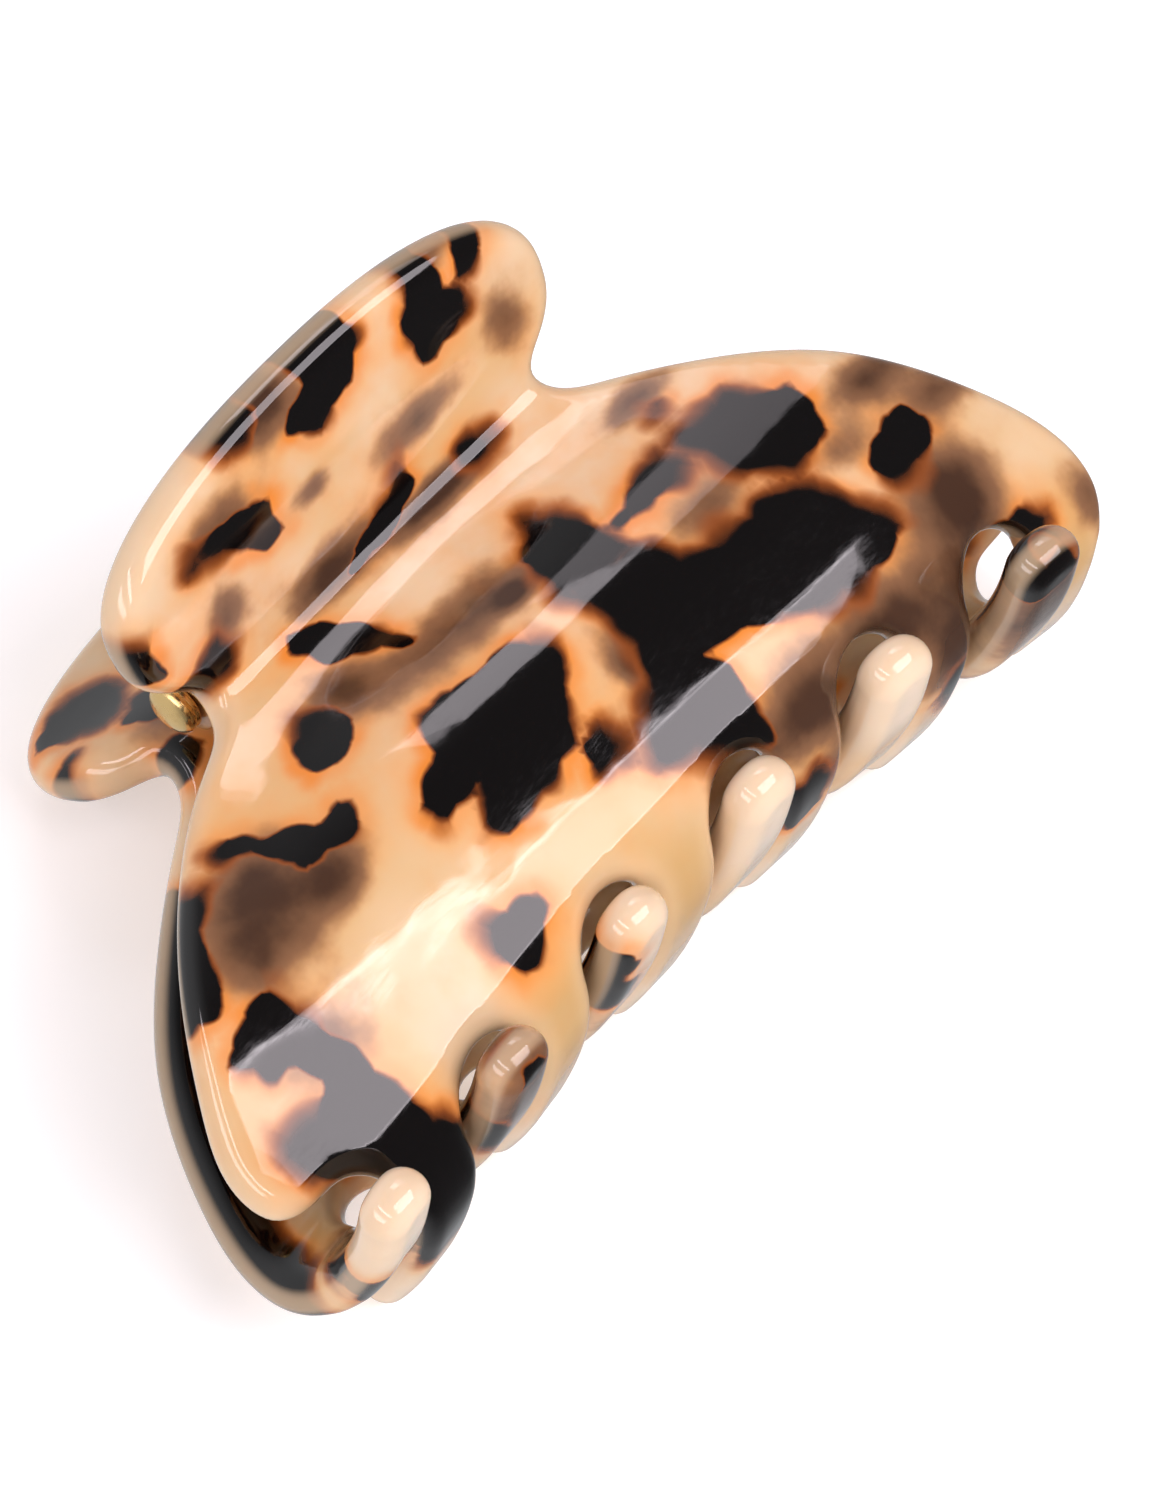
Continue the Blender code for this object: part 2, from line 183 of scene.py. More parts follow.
# Dark blotches of the front jaw, as outlines (x, station) in the flat sheet (mm)
FRONT_BLOTCHES = [
    # handle
    [(12.4, 19.7), (13.6, 18.2), (14.1, 16.1), (14.0, 14.3), (15.2, 12.7), (14.9, 11.2),
     (13.6, 10.7), (11.7, 10.7), (9.8, 10.4), (9.5, 12.2), (9.7, 14.7), (11.4, 16.2), (11.8, 18.0)],
    [(5.0, 19.8), (5.3, 16.5), (3.5, 14.4), (1.0, 13.9), (-0.6, 12.8), (-3.0, 15.0),
     (-2.4, 16.3), (-0.4, 17.1), (-0.6, 20.4), (3.7, 21.2)],
    [(-6.4, 21.7), (-5.1, 18.2), (-6.7, 17.2), (-8.6, 17.2), (-9.4, 18.9), (-8.7, 21.6)],
    [(-7.0, 11.8), (-7.4, 10.3), (-7.0, 8.6), (-8.9, 8.4), (-10.6, 9.6), (-12.6, 11.2),
     (-16.2, 11.6), (-15.0, 13.2), (-10.6, 13.0)],
    [(19.4, 15.7), (18.4, 14.5), (16.9, 14.2), (15.4, 14.0), (16.2, 15.1), (17.2, 16.2),
     (18.8, 17.3)],
    [(-16.0, 5.4), (-15.3, 3.4), (-16.3, 1.8), (-19.5, 1.6), (-20.6, 3.4), (-18.5, 4.7)],
    [(-21.8, 9.4), (-21.6, 6.6), (-23.6, 6.2), (-24.6, 8.2), (-24.0, 10.0)],
    # neck
    [(9.2, 1.2), (10.8, 1.8), (12.0, 0.6), (12.3, -0.9), (11.2, -1.9), (9.8, -1.8), (8.9, -0.4)],
    [(4.2, 4.9), (4.7, 2.2), (3.2, 1.2), (0.9, -0.2), (-1.1, -0.6), (-3.4, -0.6), (-2.2, 1.4),
     (0.8, 2.6), (2.8, 3.2)],
    [(-8.4, -2.0), (-6.4, -5.4), (-5.5, -9.5), (-7.1, -7.8), (-10.2, -5.2), (-11.7, -1.8),
     (-10.8, -0.8)],
    # body, left half
    [(-15.7, -6.8), (-13.9, -8.0), (-13.7, -10.6), (-15.1, -11.7), (-17.0, -12.0),
     (-18.6, -11.4), (-18.4, -9.9), (-17.0, -8.1)],
    [(-3.2, -15.5), (-0.9, -16.7), (-0.1, -18.0), (-1.3, -19.9), (-2.9, -21.6), (-4.5, -23.6),
     (-8.5, -24.8), (-13.0, -24.6), (-13.7, -23.4), (-11.3, -20.3), (-13.0, -20.7),
     (-15.5, -20.9), (-15.9, -19.2), (-14.4, -18.4), (-12.4, -17.4), (-11.6, -15.9),
     (-10.5, -14.9), (-8.1, -14.8), (-5.2, -15.7)],
    [(-2.2, -24.2), (-2.0, -26.6), (-3.2, -26.9), (-5.1, -26.3), (-4.1, -24.8)],
    [(-28.0, -9.8), (-26.7, -9.7), (-25.7, -10.6), (-25.2, -11.8), (-23.5, -13.2),
     (-21.4, -15.0), (-19.7, -14.6), (-19.3, -15.1), (-20.0, -16.7), (-21.7, -16.6),
     (-24.8, -16.1), (-25.4, -13.9), (-26.8, -11.9), (-28.1, -10.7)],
    [(-30.8, -11.3), (-34.0, -14.0), (-35.1, -15.9), (-35.7, -17.3), (-36.7, -17.8),
     (-38.2, -17.5), (-41.0, -17.0), (-39.0, -12.0), (-34.0, -8.5)],
    [(-33.7, -19.5), (-33.4, -21.0), (-32.7, -23.3), (-32.5, -26.5), (-32.2, -29.9),
     (-31.6, -31.9), (-31.4, -33.0), (-33.2, -33.4), (-36.0, -33.5), (-39.1, -32.0),
     (-39.4, -30.7), (-40.8, -29.5), (-41.4, -27.5), (-40.3, -26.5), (-37.5, -26.9),
     (-35.3, -26.2), (-36.3, -23.7), (-37.9, -23.3), (-38.1, -22.3), (-39.1, -21.1),
     (-38.0, -20.9), (-35.7, -19.3)],
    [(-19.3, -27.9), (-15.2, -29.0), (-15.0, -30.0), (-16.0, -30.7), (-18.3, -31.6),
     (-19.5, -31.2), (-20.2, -29.6)],
    # body, right half
    [(3.8, -15.8), (5.4, -16.3), (8.7, -16.6), (10.3, -16.8), (11.7, -17.8), (12.2, -19.5),
     (13.7, -20.3), (16.3, -20.6), (18.8, -20.9), (20.2, -20.4), (21.6, -20.4), (23.3, -21.4),
     (24.7, -22.3), (25.3, -23.9), (27.4, -26.9), (27.3, -28.3), (26.2, -28.9), (22.4, -29.4),
     (20.3, -29.4), (17.0, -29.0), (15.9, -28.0), (13.8, -27.2), (10.4, -26.1), (7.5, -25.7),
     (8.0, -27.6), (7.7, -29.0), (7.5, -33.0), (4.7, -32.3), (2.0, -30.4), (-1.6, -29.2),
     (0.3, -26.4), (3.2, -24.2), (4.4, -21.3), (4.6, -18.9), (4.2, -17.2)],
    [(7.9, -8.3), (8.6, -9.9), (10.0, -10.5), (10.2, -12.2), (10.1, -15.0), (10.5, -17.0),
     (8.7, -16.8), (3.8, -16.0), (4.5, -14.2), (4.6, -11.6), (6.5, -10.7), (7.1, -9.4)],
    [(17.0, -13.0), (18.2, -13.0), (19.2, -14.5), (19.0, -15.4), (16.4, -15.6), (14.6, -15.8),
     (11.2, -14.9), (13.0, -14.4), (14.6, -13.4)],
    [(26.6, -12.6), (27.3, -14.0), (28.1, -15.1), (29.9, -16.0), (29.9, -18.1), (28.9, -19.8),
     (26.9, -20.1), (24.5, -20.7), (23.2, -19.7), (21.0, -18.5), (20.7, -16.0), (20.0, -13.4),
     (21.0, -12.8), (23.5, -13.0)],
    [(33.5, -22.1), (35.1, -22.5), (35.8, -24.0), (34.4, -25.2), (32.9, -26.1), (31.0, -26.1),
     (29.6, -25.9), (29.5, -24.3), (30.7, -22.8)],
    [(37.3, -32.8), (38.9, -33.6), (38.8, -34.4), (36.1, -34.6), (33.5, -35.4), (31.4, -35.2),
     (31.4, -33.5), (33.5, -32.6)],
    [(21.7, -9.0), (22.6, -9.4), (22.1, -10.3), (21.3, -10.2)],
    # fingers
    [(-35.5, -33.0), (-31.0, -32.5), (-29.8, -36.0), (-29.8, -42.0), (-31.0, -46.4),
     (-35.5, -46.8), (-36.5, -40.0)],
    [(7.8, -39.2), (10.4, -38.0), (12.2, -40.4), (11.6, -44.0), (8.6, -45.0), (7.0, -42.4)],
    [(26.6, -41.0), (29.2, -39.8), (29.0, -45.0), (27.0, -47.6), (25.6, -44.6)],
]

# Soft brown clouds deep in the front jaw: x, station, reach across, reach along, strength
FRONT_CLOUDS = [
    (17.7, 7.8, 2.4, 3.8, 0.55), (7.4, 6.9, 4.6, 1.9, 0.7), (-12.0, 13.0, 3.8, 2.4, 0.6),
    (15.6, 17.6, 3.2, 1.6, 0.6), (-4.0, 18.4, 3.6, 3.2, 0.92), (-14.6, 6.4, 2.4, 2.8, 0.55),
    (-3.4, 9.4, 2.6, 1.1, 0.45), (5.8, -0.8, 6.0, 2.0, 0.92), (-4.6, 1.4, 5.0, 2.8, 0.85),
    (-11.6, -8.4, 3.2, 3.0, 0.8), (-3.0, -11.4, 7.0, 2.8, 0.66), (2.0, -13.0, 2.2, 1.2, 0.9),
    (-28.8, -14.4, 5.0, 3.6, 0.85), (-24.2, -17.6, 3.2, 2.2, 0.85), (-31.6, -17.0, 3.6, 2.8, 0.65),
    (32.8, -29.2, 4.6, 3.6, 0.9), (29.4, -34.4, 3.0, 2.6, 0.95), (35.4, -19.2, 5.0, 2.0, 0.66),
    (38.8, -22.8, 4.2, 2.0, 0.6), (21.8, -7.8, 3.8, 1.7, 0.62), (16.8, -18.4, 4.2, 1.8, 0.6),
    (28.6, -21.6, 3.2, 1.6, 0.45), (3.5, -22.8, 2.2, 3.0, 0.75), (11.8, -33.2, 5.4, 3.2, 0.92),
    (3.4, -33.2, 3.2, 1.8, 0.85), (21.6, -32.8, 5.4, 3.0, 0.9), (-38.2, -32.0, 4.0, 2.0, 0.9),
    (43.2, -35.0, 2.2, 3.4, 0.6), (-33.6, -24.6, 4.6, 3.6, 0.45), (27.4, -38.5, 4.4, 5.0, 0.9),
    (12.6, -40.0, 3.0, 3.0, 0.6),
]

# The same for the back jaw, in its own flat sheet
BACK_BLOTCHES = [
    # handle
    [(21.6, 11.2), (20.0, 9.6), (18.0, 6.9), (16.6, 6.7), (13.8, 9.1), (13.6, 11.6),
     (16.2, 13.4), (19.4, 12.8)],
    [(17.2, 5.0), (15.0, 6.3), (12.2, 6.0), (12.4, 3.6), (15.8, 3.0)],
    [(21.4, 7.0), (23.2, 7.8), (24.8, 8.6), (26.8, 7.1), (27.0, 4.6), (24.6, 4.0), (23.2, 6.4)],
    [(18.4, 1.2), (20.2, -0.4), (18.4, -1.4), (15.6, -0.8), (16.4, 0.6)],
    [(-18.5, 12.0), (-14.0, 13.2), (-11.5, 11.0), (-13.5, 8.5), (-17.5, 8.2), (-19.8, 9.8)],
    [(-3.5, 18.6), (0.5, 19.6), (3.6, 17.8), (2.6, 14.8), (-1.0, 13.4), (-4.6, 15.4)],
    [(-8.6, 4.0), (-5.2, 5.2), (-2.4, 3.2), (-4.2, 0.6), (-8.2, 0.2)],
    # body
    [(26.0, -6.4), (31.0, -10.0), (36.6, -15.2), (42.2, -22.8), (45.6, -30.6), (46.4, -37.4),
     (42.6, -37.0), (41.2, -30.0), (38.4, -24.2), (33.0, -17.4), (27.6, -11.8), (24.4, -8.4)],
    [(-26.5, -9.8), (-20.5, -8.4), (-15.8, -11.0), (-14.6, -15.8), (-18.6, -19.2),
     (-23.4, -17.0), (-27.2, -18.4), (-30.4, -14.6)],
    [(-6.0, -8.2), (-0.8, -9.6), (3.0, -8.0), (5.6, -11.4), (3.8, -15.0), (-1.4, -15.8),
     (-4.2, -12.6), (-7.4, -12.0)],
    [(9.0, -17.8), (14.2, -15.2), (19.0, -17.6), (21.8, -22.0), (18.6, -26.6), (12.8, -26.0),
     (10.6, -30.0), (6.4, -28.4), (6.0, -22.6)],
    [(-10.2, -22.0), (-5.0, -23.4), (-3.0, -27.4), (-6.2, -31.0), (-11.6, -29.6), (-13.2, -25.4)],
    [(-39.8, -22.6), (-34.6, -23.2), (-31.6, -27.0), (-33.4, -31.2), (-38.8, -30.4),
     (-42.6, -27.4)],
    [(-24.6, -27.4), (-20.4, -25.6), (-17.6, -28.8), (-19.6, -32.6), (-23.8, -31.8)],
    [(27.4, -24.4), (31.6, -22.6), (34.4, -26.6), (32.4, -31.2), (28.0, -30.4)],
    # fingers
    [(15.6, -59.4), (13.4, -58.8), (12.7, -56.5), (13.4, -54.6), (11.6, -52.2), (11.8, -49.6),
     (15.6, -49.4)],
    [(-34.0, -61.2), (-29.2, -61.2), (-28.8, -58.2), (-30.8, -57.0), (-33.6, -57.4),
     (-34.6, -59.2)],
    [(26.6, -60.6), (25.0, -60.6), (24.2, -59.4), (25.2, -58.4), (26.8, -58.9)],
    [(30.2, -54.0), (28.0, -53.4), (26.4, -50.8), (27.0, -48.6), (30.2, -48.0)],
    [(38.6, -40.0), (43.0, -42.0), (43.6, -47.0), (40.4, -49.6), (38.2, -45.0)],
]
BACK_CLOUDS = [
    (-16.0, 15.8, 4.0, 2.6, 0.5), (6.0, 14.0, 4.0, 2.4, 0.4), (1.5, 4.5, 4.4, 2.2, 0.6),
    (14.8, 2.6, 3.4, 2.2, 0.55), (-14.4, -3.4, 4.8, 2.2, 0.6), (20.6, -7.6, 4.2, 2.6, 0.5),
    (-33.6, -19.6, 3.2, 2.6, 0.6), (0.8, -20.4, 4.2, 2.6, 0.55), (25.8, -18.4, 3.8, 3.4, 0.6),
    (-14.0, -34.4, 5.0, 2.4, 0.6), (2.0, -35.2, 5.0, 2.4, 0.5), (25.7, -55.0, 3.6, 8.0, 0.95),
    (39.0, -43.0, 4.2, 6.0, 0.75), (-33.1, -54.0, 4.4, 10.0, 0.9), (-27.8, -36.6, 4.4, 2.4, 0.6),
    (11.0, -46.0, 3.4, 3.0, 0.4),
]

# Camera: angles in degrees, lengths in metres, lens in millimetres
VIEW_AZIMUTH = -61.24
VIEW_ELEVATION = 62.83
VIEW_ROLL = -13.16
VIEW_DISTANCE = 1.1777
VIEW_AIM = Vector((0.0011, -0.0091, 0.0200))
LENS = 379.2
FILM_HEIGHT = 36.0


# ---------------------------------------------------------------- shape of the sheet


def natural_spline(knots, values, at):
    """Cubic spline through the values with no bending at its ends."""
    knots = np.asarray(knots, float)
    values = np.asarray(values, float)
    step = np.diff(knots)
    slope = np.diff(values) / step
    count = len(knots)
    matrix = np.eye(count)
    right = np.zeros(count)
    for i in range(1, count - 1):
        matrix[i, i - 1:i + 2] = step[i - 1], 2 * (step[i - 1] + step[i]), step[i]
        right[i] = 6 * (slope[i] - slope[i - 1])
    bend = np.linalg.solve(matrix, right)
    at = np.asarray(at, float)
    i = np.clip(np.searchsorted(knots, at) - 1, 0, count - 2)
    low = at - knots[i]
    high = knots[i + 1] - at
    curved = (bend[i] * high ** 3 + bend[i + 1] * low ** 3) / (6 * step[i])
    from_left = (values[i] / step[i] - bend[i] * step[i] / 6) * high
    from_right = (values[i + 1] / step[i] - bend[i + 1] * step[i] / 6) * low
    return curved + from_left + from_right


def chord_lengths(points):
    steps = np.hypot(*np.diff(np.asarray(points, float), axis=0).T)
    return np.concatenate([[0.0], np.cumsum(steps)])


def through(points, samples):
    """A smooth curve through 2D points, as that many samples."""
    points = np.asarray(points, float)
    along = chord_lengths(points)
    at = np.linspace(0.0, along[-1], samples)
    return np.stack([natural_spline(along, points[:, k], at) for k in (0, 1)], axis=1)


class Section:
    """The middle line of a jaw at x = 0, in millimetres from the pin. Stations are measured
    along the sheet from the neck, positive towards the handle."""

    def __init__(self):
        line = through(SECTION, LINE_SAMPLES)
        along = chord_lengths(line)
        neck = chord_lengths(SECTION)[NECK_POINT] / chord_lengths(SECTION)[-1]
        neck_along = np.interp(neck, np.linspace(0, 1, len(line)), along)
        self.stations = (neck_along - along)[::-1]
        self.y = line[::-1, 0] - PIN_ABOVE_NECK
        self.z = line[::-1, 1]
        self.handle_tip = self.stations[-1]
        self.finger_tip = self.stations[0]

    def at(self, station):
        return np.interp(station, self.stations, self.y), np.interp(station, self.stations, self.z)


SHEET_LINE = Section()


def middle_surface(x, station):
    """Points of the bent sheet's middle surface, in millimetres from the pin."""
    y, z = SHEET_LINE.at(station)
    within = np.clip(station, DRAW_IN_STATIONS[0], DRAW_IN_STATIONS[-1])
    depth = natural_spline(DRAW_IN_STATIONS, DRAW_IN_DEPTHS, within)
    arch = natural_spline(ARCH_X, ARCH_DEPTHS, np.clip(x, ARCH_X[0], ARCH_X[-1]))
    arch *= np.clip(station / ARCH_FULL_STATION, 0.0, 1.0) ** 2
    inward = depth * (abs(x) / HALF_LENGTH) ** DRAW_IN_POWER
    return np.stack([x, y - arch, z - inward], axis=-1)


def bent(x, station, height):
    """Where points of the flat sheet go when it is bent to the jaw's shape."""
    x, station, height = (np.asarray(value, float) for value in (x, station, height))
    along_x = middle_surface(x + PROBE, station) - middle_surface(x - PROBE, station)
    along_s = middle_surface(x, station + PROBE) - middle_surface(x, station - PROBE)
    normal = np.cross(along_x, along_s)
    normal /= np.linalg.norm(normal, axis=-1, keepdims=True)
    return middle_surface(x, station) + normal * height[..., None]


# ---------------------------------------------------------------- flat outline of a jaw


def handle_top():
    """The handle's rounded upper edge, from its right shoulder to its left one."""
    angles = np.linspace(0.0, math.pi, HANDLE_SAMPLES)
    rise = SHEET_LINE.handle_tip - HANDLE_SHOULDER
    x = HANDLE_HALF_WIDTH * np.sign(np.cos(angles)) * abs(np.cos(angles)) ** HANDLE_SQUARENESS
    station = HANDLE_SHOULDER + rise * np.sin(angles) ** HANDLE_SQUARENESS
    return np.stack([x, station], axis=1)


def arc(centre_x, centre_y, radius, start, end):
    angles = np.radians(np.linspace(start, end, ARC_SAMPLES))
    return [(centre_x + radius * math.cos(a), centre_y + radius * math.sin(a)) for a in angles]


def fingers_outline():
    """The comb of fingers, from the left finger's outer side to the right finger's."""
    tip_y = SHEET_LINE.finger_tip + FINGER_HALF_WIDTH
    points = []
    for i in range(FINGER_COUNT):
        x = (FIRST_FINGER + i) * TOOTH_PITCH
        points += arc(x, tip_y, FINGER_HALF_WIDTH, 180, 360)
        if i < FINGER_COUNT - 1:
            notch_y = NOTCH_END - NOTCH_HALF_WIDTH
            points += arc(x + TOOTH_PITCH / 2, notch_y, NOTCH_HALF_WIDTH, 180, 0)
    return np.array(points)


def evenly(points, step):
    """A closed outline, as points about one step apart."""
    closed = np.vstack([points, points[:1]])
    along = chord_lengths(closed)
    at = np.linspace(0, along[-1], int(along[-1] / step), endpoint=False)
    return np.stack([np.interp(at, along, closed[:, k]) for k in (0, 1)], axis=1)


def flat_outline():
    """Closed outline of the flat sheet, counter-clockwise, in millimetres."""
    top = handle_top()
    first_x = FIRST_FINGER * TOOTH_PITCH - FINGER_HALF_WIDTH
    last_x = (FIRST_FINGER + FINGER_COUNT - 1) * TOOTH_PITCH + FINGER_HALF_WIDTH
    left = [top[-1]] + [(-x, s) for x, s in NECK_SIDE + OPEN_SIDE]
    left = through(left + [(first_x, FIRST_FINGER_START)], SIDE_SAMPLES)
    right = [top[0]] + NECK_SIDE + CLOSED_SIDE
    right = through(right + [(last_x, LAST_FINGER_START)], SIDE_SAMPLES)
    return evenly(np.vstack([top, left[1:], fingers_outline(), right[:0:-1]]), OUTLINE_STEP)


# ---------------------------------------------------------------- distances in the flat sheet


def distance_to(points, outline):
    """Distance from each point to a closed outline, negative inside it."""
    best = np.full(len(points), np.inf)
    inside = np.zeros(len(points), bool)
    for (ax, ay), (bx, by) in zip(outline, np.roll(outline, -1, axis=0)):
        dx, dy = bx - ax, by - ay
        px, py = points[:, 0] - ax, points[:, 1] - ay
        part = np.clip((px * dx + py * dy) / max(dx * dx + dy * dy, TINY), 0, 1)
        best = np.minimum(best, np.hypot(px - part * dx, py - part * dy))
        if ay != by:
            crosses = (ay > points[:, 1]) != (by > points[:, 1])
            inside ^= crosses & (px < py * dx / dy)
    return np.where(inside, -best, best)


def blotch_distance(points, blotches):
    """Distance from each point to the nearest blotch's edge, negative inside a blotch."""
    return np.min([distance_to(points, blotch) for blotch in blotches], axis=0)


def cloud_depth(points, clouds):
    """How dark the soft clouds are at each point, from 0 to 1."""
    clear = np.ones(len(points))
    for x, station, across, along, strength in clouds:
        spread = ((points[:, 0] - x) / across) ** 2 + ((points[:, 1] - station) / along) ** 2
        clear *= 1 - strength * np.exp(-spread)
    return 1 - clear


# ---------------------------------------------------------------- jaws


def inner_loops(outline):
    """Loops inside the outline that carry the rounded edge, each as points and inset."""
    before = outline - np.roll(outline, 1, axis=0)
    after = np.roll(outline, -1, axis=0) - outline
    along = before / np.linalg.norm(before, axis=1, keepdims=True)
    along += after / np.linalg.norm(after, axis=1, keepdims=True)
    along /= np.linalg.norm(along, axis=1, keepdims=True)
    inward = np.stack([-along[:, 1], along[:, 0]], axis=1)
    loops = []
    for i in range(1, EDGE_LOOPS + 1):
        inset = EDGE_RADIUS * (1 - math.cos(math.pi / 2 * i / EDGE_LOOPS))
        loops.append((outline + inward * inset, inset))
    return loops


def edge_height(inset):
    """Half the sheet's thickness at a distance in from its edge."""
    part = 1 - np.clip(inset / EDGE_RADIUS, 0, 1)
    return SHEET / 2 * np.sqrt(1 - part ** 2)


def flat_points(outline):
    """Points that fill the outline: its own, the edge's loops and a grid inside them."""
    filled = [outline]
    for loop, inset in inner_loops(outline):
        true_inset = -distance_to(loop, outline)
        filled.append(loop[true_inset > inset - LOOP_SLACK])
    low, high = outline.min(axis=0), outline.max(axis=0)
    rows = np.arange(low[1], high[1], GRID_ROW_STEP)
    grid = [(x + (i % 2) * GRID_STEP / 2, s)
            for i, s in enumerate(rows) for x in np.arange(low[0], high[0], GRID_STEP)]
    grid = np.array(grid)
    filled.append(grid[-distance_to(grid, outline) > EDGE_RADIUS + GRID_GAP])
    return np.vstack(filled)


def store(mesh, name, kind, values):
    attribute = mesh.attributes.new(name, kind, "POINT")
    field = "vector" if kind == "FLOAT_VECTOR" else "value"
    attribute.data.foreach_set(field, np.asarray(values, np.float32).ravel())


def jaw_sheet():
    """The bent sheet as vertices from the pin, faces, and each vertex's flat place."""
    outline = flat_outline()
    points = flat_points(outline)
    edges = [(i, (i + 1) % len(outline)) for i in range(len(outline))]
    made = delaunay_2d_cdt([Vector(p) for p in points], edges, [], 1, SAME_POINT)
    flat = np.array([tuple(p) for p in made[0]])
    triangles = np.array([tuple(face) for face in made[2]])
    inset = -distance_to(flat, outline)
    on_edge = inset < ON_OUTLINE
    height = np.where(on_edge, 0.0, edge_height(inset))
    count = len(flat)
    below = np.where(on_edge, np.arange(count), np.arange(count) + count)
    faces = np.vstack([triangles, below[triangles][:, ::-1]])
    used, faces = np.unique(faces, return_inverse=True)
    flat = np.vstack([flat, flat])[used]
    height = np.concatenate([height, -height])[used]
    return bent(flat[:, 0], flat[:, 1], height), faces.reshape(-1, 3), flat, height


def jaw(name, sheet, to_row, blotches, clouds, looks):
    points, faces, flat, height = sheet
    mesh = bpy.data.meshes.new(name)
    mesh.from_pydata([to_row @ Vector(p * MM) for p in points], [], faces.tolist())
    store(mesh, "sheet_place", "FLOAT_VECTOR", np.column_stack([flat, height]))
    store(mesh, "blotch", "FLOAT", blotch_distance(flat, blotches))
    store(mesh, "cloud", "FLOAT", cloud_depth(flat, clouds))
    store(mesh, "inset", "FLOAT", -distance_to(flat, flat_outline()))
    mesh.shade_smooth()
    mesh.materials.append(looks)
    return add(name, mesh)


def add(name, data):
    obj = bpy.data.objects.new(name, data)
    bpy.context.scene.collection.objects.link(obj)
    return obj


# ---------------------------------------------------------------- hinge and spring


def lug_mesh(name, to_row, looks):
    """A lug on its side in the flat, with rounded rims, stood up and put in place."""
    stations = PIN_ABOVE_NECK + np.linspace(-KNUCKLE_FOOT, KNUCKLE_FOOT, FOOT_SAMPLES)
    below = np.full(FOOT_SAMPLES, -SHEET / 2 - TOUCH_GAP)
    foot = bent(np.zeros(FOOT_SAMPLES), stations, below)[:, 1:]
    turn = np.radians(np.linspace(*LUG_ROUND, LUG_SAMPLES))
    round_end = KNUCKLE_RADIUS * np.stack([np.cos(turn), np.sin(turn)], axis=1)
    turn = np.radians(np.arange(0, 360, EYE_STEP))
    eye = (PIN_RADIUS + PIN_CLEARANCE) * np.stack([np.cos(turn), np.sin(turn)], axis=1)
    curve = bpy.data.curves.new(name + "_outline", "CURVE")
    curve.dimensions = "2D"
    curve.fill_mode = "BOTH"
    curve.extrude = (KNUCKLE_WIDTH / 2 - KNUCKLE_EDGE) * MM
    curve.bevel_depth = KNUCKLE_EDGE * MM
    curve.bevel_resolution = LUG_EDGE_SAMPLES
    curve.offset = -KNUCKLE_EDGE * MM
    for outline in (np.vstack([foot, round_end]), eye):
        spline = curve.splines.new("POLY")
        spline.points.add(len(outline) - 1)
        for point, (y, z) in zip(spline.points, outline):
            point.co = (y * MM, z * MM, 0, 1)
        spline.use_cyclic_u = True
    guide = add(name + "_outline", curve)
    graph = bpy.context.evaluated_depsgraph_get()
    mesh = bpy.data.meshes.new_from_object(guide.evaluated_get(graph))
    mesh.name = name
    bpy.data.objects.remove(guide)
    bm = bmesh.new()
    bm.from_mesh(mesh)
    bmesh.ops.remove_doubles(bm, verts=bm.verts, dist=WELD * MM)
    bmesh.ops.recalc_face_normals(bm, faces=bm.faces)
    bm.to_mesh(mesh)
    bm.free()
    stand_up = Matrix(((0, 0, 1, 0), (1, 0, 0, 0), (0, 1, 0, 0), (0, 0, 0, 1)))
    mesh.transform(to_row @ stand_up)
    mesh.shade_smooth()
    mesh.set_sharp_from_angle(angle=math.radians(SHARP_ANGLE))
    mesh.materials.clear()
    mesh.materials.append(looks)
    return add(name, mesh)


def turned(name, profile, to_row, looks, steps=LATHE_STEPS):
    """A lathe-turned solid about its own X axis, from a profile of (x, radius) in mm."""
    points = []
    for x, radius in profile:
        for i in range(steps):
            angle = 2 * math.pi * i / steps
            points.append((x * MM, radius * MM * math.cos(angle), radius * MM * math.sin(angle)))
    faces = []
    for ring in range(len(profile) - 1):
        for i in range(steps):
            low = ring * steps
            after = (i + 1) % steps
            faces.append((low + i, low + after, low + steps + after, low + steps + i))
    faces.append(tuple(range(steps))[::-1])
    faces.append(tuple(range((len(profile) - 1) * steps, len(profile) * steps)))
    mesh = bpy.data.meshes.new(name)
    mesh.from_pydata([to_row @ Vector(p) for p in points], [], faces)
    bm = bmesh.new()
    bm.from_mesh(mesh)
    bmesh.ops.recalc_face_normals(bm, faces=bm.faces)
    bm.to_mesh(mesh)
    bm.free()
    mesh.shade_smooth()
    mesh.set_sharp_from_angle(angle=math.radians(SHARP_ANGLE))
    mesh.materials.append(looks)
    return add(name, mesh)


def rounded_rod():
    """Profile of the pin, with its ends rounded off."""
    turn = np.radians(np.linspace(0, 90, RIM_SAMPLES + 1))
    x = PIN_HALF_LENGTH - PIN_RIM
    radius = PIN_RADIUS - PIN_RIM
    end = [(x + PIN_RIM * math.sin(a), radius + PIN_RIM * math.cos(a)) for a in turn]
    return [(-x, r) for x, r in end[::-1]] + end


def cap_profile():
    """Profile of a cap: a dome with a rolled rim, open towards the pin."""
    bore = PIN_RADIUS + PIN_CLEARANCE
    floor = CAP_LENGTH - CAP_WALL - TOUCH_GAP
    turn = np.radians(np.linspace(-90, 0, RIM_SAMPLES))
    radius = CAP_RADIUS - CAP_RIM
    rolled = [(CAP_RIM + CAP_RIM * math.sin(a), radius + CAP_RIM * math.cos(a)) for a in turn]
    waist = [(CAP_WAIST_AT, CAP_RADIUS - CAP_WAIST)]
    turn = np.radians(np.linspace(0, CAP_DOME_END, DOME_SAMPLES))
    rise = CAP_LENGTH - CAP_DOME_START
    dome = [(CAP_DOME_START + rise * math.sin(a), CAP_RADIUS * math.cos(a)) for a in turn]
    inside = [(floor, CAP_CENTRE), (floor, bore), (0.0, bore)]
    return inside + rolled + waist + dome + [(CAP_LENGTH, CAP_CENTRE)]


